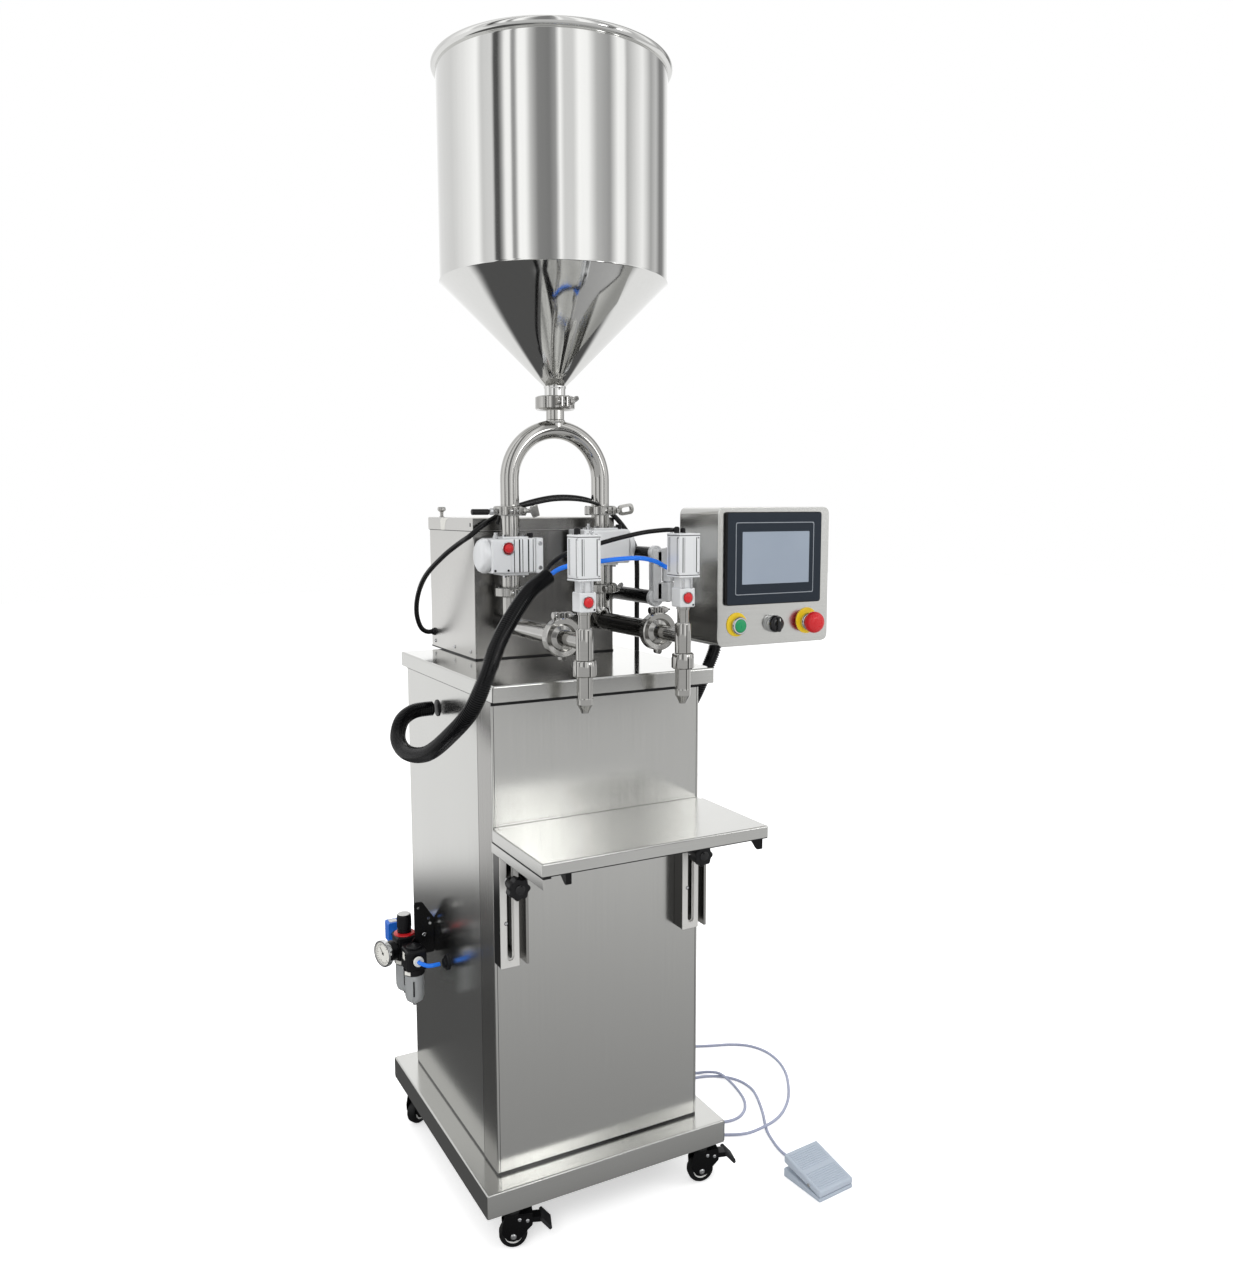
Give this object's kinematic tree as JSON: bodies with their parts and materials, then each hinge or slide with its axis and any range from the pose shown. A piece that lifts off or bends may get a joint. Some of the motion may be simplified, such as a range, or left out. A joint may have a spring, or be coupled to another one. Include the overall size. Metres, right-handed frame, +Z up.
{
  "type": "two-nozzle food filling machine",
  "caption": "Free-standing pneumatic paste filler: cone hopper over an inverted U pipe, needle nozzles, swivelling touch-screen box, height-adjustable shelf, caster base and foot pedal.",
  "frame": {"origin": "on the floor under the middle of the machine with its foot pedal, the pedal cord left out", "axes": "+Z up, +X to the right along the front with the control box on the right, the nozzles and shelf face -Y"},
  "size_m": [0.9233, 0.7354, 2.0881],
  "materials": {
    "aluminium": "anodised aluminium",
    "black": "black moulded plastic",
    "blue": "blue plastic",
    "brushed": "brushed stainless sheet",
    "cast": "grey cast metal",
    "castor_black": "black painted steel",
    "cord": "pale grey cable sheath",
    "green": "green plastic",
    "pedal": "pale grey-blue plastic",
    "polished": "polished stainless steel",
    "red": "red plastic",
    "rubber": "black rubber",
    "slate": "dark slate plastic with glass",
    "steel": "turned steel"
  },
  "bodies": {
    "machine": {"base_plate": "brushed", "cabinet_body": "brushed", "table_top": "brushed", "rear_housing": "polished", "rear_housing_lid": "polished", "hopper": "polished", "hopper_clamp": "polished", "inlet_manifold": "polished", "left_upper_clamp": "polished", "left_lower_clamp": "polished", "left_feed_pipe": "polished", "left_nozzle_clamp": "polished", "left_nozzle_body": "polished", "left_nozzle_spout": "polished", "left_inlet_valve": "aluminium", "left_nozzle_actuator": "aluminium", "right_upper_clamp": "polished", "right_lower_clamp": "polished", "right_feed_pipe": "polished", "right_nozzle_clamp": "polished", "right_nozzle_body": "polished", "right_nozzle_spout": "polished", "right_inlet_valve": "aluminium", "right_nozzle_actuator": "aluminium", "metering_barrels": "steel", "air_unit": "black", "nozzle_cable": "black", "sensor_cable": "black", "support_arm": "cast", "nozzle_air_tube": "blue", "foot_pedal_base": "pedal", "pedal_cord": "cord", "corrugated_hose": "rubber", "control_conduit": "rubber"},
    "front_left_caster": {"front_left_caster_fork": "castor_black"},
    "front_left_wheel": {"front_left_caster_wheel": "rubber"},
    "front_left_brake": {"front_left_brake_pedal": "black"},
    "front_right_caster": {"front_right_caster_fork": "castor_black"},
    "front_right_wheel": {"front_right_caster_wheel": "rubber"},
    "front_right_brake": {"front_right_brake_pedal": "black"},
    "rear_left_caster": {"rear_left_caster_fork": "castor_black"},
    "rear_left_wheel": {"rear_left_caster_wheel": "rubber"},
    "rear_right_caster": {"rear_right_caster_fork": "castor_black"},
    "rear_right_wheel": {"rear_right_caster_wheel": "rubber"},
    "shelf": {"shelf_tray": "brushed", "left_shelf_bracket": "brushed", "right_shelf_bracket": "brushed"},
    "left_knob": {"left_star_knob": "black"},
    "right_knob": {"right_star_knob": "black"},
    "control_panel": {"control_box": "brushed", "touch_screen": "slate"},
    "start": {"start_button": "green"},
    "selector": {"mode_selector": "black"},
    "stop": {"emergency_stop": "red"},
    "left_needle": {"left_nozzle_needle": "steel"},
    "right_needle": {"right_nozzle_needle": "steel"},
    "pistons": {"metering_pistons": "steel"},
    "regulator": {"regulator_knob": "black"},
    "shut_off": {"shut_off_slide": "blue"},
    "treadle": {"foot_treadle": "pedal"}
  },
  "joints": [
    {"name": "front_left_swivel", "type": "hinge", "parent": "machine", "child": "front_left_caster", "pos_m": [-0.2817, -0.17925, 0.07], "axis": [0, 0, 1], "continuous": true},
    {"name": "front_left_wheel_spin", "type": "hinge", "parent": "front_left_caster", "child": "front_left_wheel", "pos_m": [-0.27794, -0.18062, 0.025], "axis": [0.342, 0.9397, 0], "continuous": true},
    {"name": "front_left_brake_tilt", "type": "hinge", "parent": "front_left_caster", "child": "front_left_brake", "pos_m": [-0.25445, -0.18917, 0.053], "axis": [0.342, 0.9397, 0], "range_deg": [0, 10]},
    {"name": "front_right_swivel", "type": "hinge", "parent": "machine", "child": "front_right_caster", "pos_m": [0.1083, -0.17925, 0.07], "axis": [0, 0, 1], "continuous": true},
    {"name": "front_right_wheel_spin", "type": "hinge", "parent": "front_right_caster", "child": "front_right_wheel", "pos_m": [0.11216, -0.18029, 0.025], "axis": [0.2588, 0.9659, 0], "continuous": true},
    {"name": "front_right_brake_tilt", "type": "hinge", "parent": "front_right_caster", "child": "front_right_brake", "pos_m": [0.13631, -0.18676, 0.053], "axis": [0.2588, 0.9659, 0], "range_deg": [0, 10]},
    {"name": "rear_left_swivel", "type": "hinge", "parent": "machine", "child": "rear_left_caster", "pos_m": [-0.2817, 0.28675, 0.07], "axis": [0, 0, 1], "continuous": true},
    {"name": "rear_left_wheel_spin", "type": "hinge", "parent": "rear_left_caster", "child": "rear_left_wheel", "pos_m": [-0.30509, 0.27325, 0.025], "axis": [-0.5, 0.866, 0], "continuous": true},
    {"name": "rear_right_swivel", "type": "hinge", "parent": "machine", "child": "rear_right_caster", "pos_m": [0.1083, 0.28675, 0.07], "axis": [0, 0, 1], "continuous": true},
    {"name": "rear_right_wheel_spin", "type": "hinge", "parent": "rear_right_caster", "child": "rear_right_wheel", "pos_m": [0.08491, 0.27325, 0.025], "axis": [-0.5, 0.866, 0], "continuous": true},
    {"name": "shelf_height", "type": "slide", "parent": "machine", "child": "shelf", "axis": [0, 0, 1], "range_m": [0, 0.13]},
    {"name": "left_knob_turn", "type": "hinge", "parent": "machine", "child": "left_knob", "pos_m": [-0.2757, -0.18575, 0.664], "axis": [0, 1, 0], "continuous": true},
    {"name": "right_knob_turn", "type": "hinge", "parent": "machine", "child": "right_knob", "pos_m": [0.0863, -0.18575, 0.664], "axis": [0, 1, 0], "continuous": true},
    {"name": "control_panel_swivel", "type": "hinge", "parent": "machine", "child": "control_panel", "pos_m": [0.1323, -0.01975, 1.163], "axis": [0, 0, 1], "range_deg": [-15, 45]},
    {"name": "start_button_press", "type": "slide", "parent": "control_panel", "child": "start", "axis": [0, 1, 0], "range_m": [0, 0.004], "stiffness_N_per_m": 600, "springref_m": -0.002},
    {"name": "mode_selector_turn", "type": "hinge", "parent": "control_panel", "child": "selector", "pos_m": [0.2738, -0.17575, 1.074], "axis": [0, 1, 0], "range_deg": [-45, 45]},
    {"name": "emergency_stop_press", "type": "slide", "parent": "control_panel", "child": "stop", "axis": [0, 1, 0], "range_m": [0, 0.005], "stiffness_N_per_m": 900, "springref_m": -0.002},
    {"name": "left_needle_lift", "type": "slide", "parent": "machine", "child": "left_needle", "axis": [0, 0, 1], "range_m": [0, 0.016]},
    {"name": "right_needle_lift", "type": "slide", "parent": "machine", "child": "right_needle", "axis": [0, 0, 1], "range_m": [0, 0.016]},
    {"name": "metering_stroke", "type": "slide", "parent": "machine", "child": "pistons", "axis": [0, 1, 0], "range_m": [0, 0.07]},
    {"name": "regulator_turn", "type": "hinge", "parent": "machine", "child": "regulator", "pos_m": [-0.3427, 0.21025, 0.466], "axis": [0, 0, 1], "continuous": true},
    {"name": "shut_off_travel", "type": "slide", "parent": "machine", "child": "shut_off", "axis": [0, 1, 0], "range_m": [0, 0.008]},
    {"name": "treadle_press", "type": "hinge", "parent": "machine", "child": "treadle", "pos_m": [0.31266, -0.34556, 0.0085], "axis": [-0.9962, -0.0872, 0], "range_deg": [0, 5.5], "stiffness_Nm_per_rad": 6, "springref_deg": -6.88}
  ],
  "couplings": [
    {"joint": "right_needle_lift", "follows": "left_needle_lift", "ratio": 1}
  ]
}
